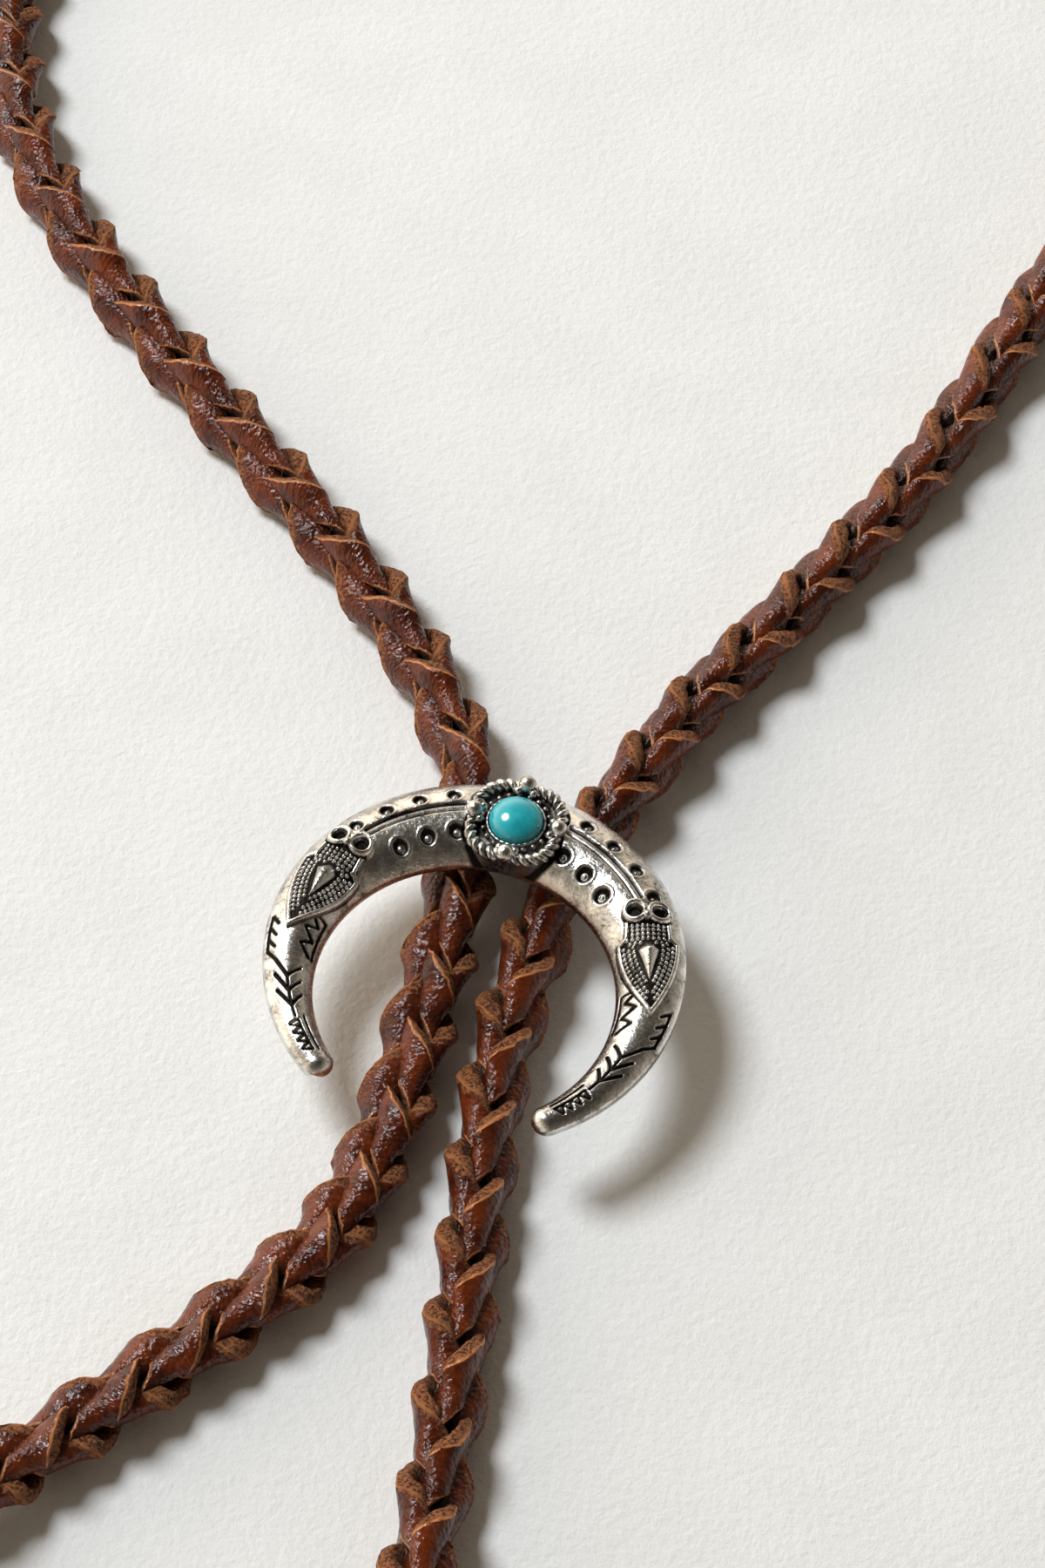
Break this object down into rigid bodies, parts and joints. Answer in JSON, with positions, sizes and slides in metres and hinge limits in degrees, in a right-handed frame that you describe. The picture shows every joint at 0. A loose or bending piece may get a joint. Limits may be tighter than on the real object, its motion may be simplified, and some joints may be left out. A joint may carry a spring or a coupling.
{
  "type": "bolo tie",
  "caption": "Bolo tie: a cast double-horn crescent slide with a round turquoise stone on a braided leather cord, laid out as a neck loop with two tails.",
  "frame": {"origin": "middle of the flat back face of the clasp, on the surface that the tie lies on", "axes": "+Z out of the face of the slide, +Y from the horns towards the neck loop, +X to the right as seen in front of the slide"},
  "size_m": [0.1555, 0.345, 0.0158],
  "materials": {
    "antique_silver": "antique silver plate on a cast alloy, polished on the high places and dark in the cuts",
    "turquoise": "polished, with faint darker veins",
    "leather": "glossy reddish brown grain with raw tan edges"
  },
  "bodies": {
    "root": {"crescent": "antique_silver", "stone_setting": "antique_silver", "turquoise_stone": "turquoise", "back_clasp": "antique_silver", "braided_cord": "leather", "left_tip": "antique_silver", "right_tip": "antique_silver"}
  },
  "joints": []
}
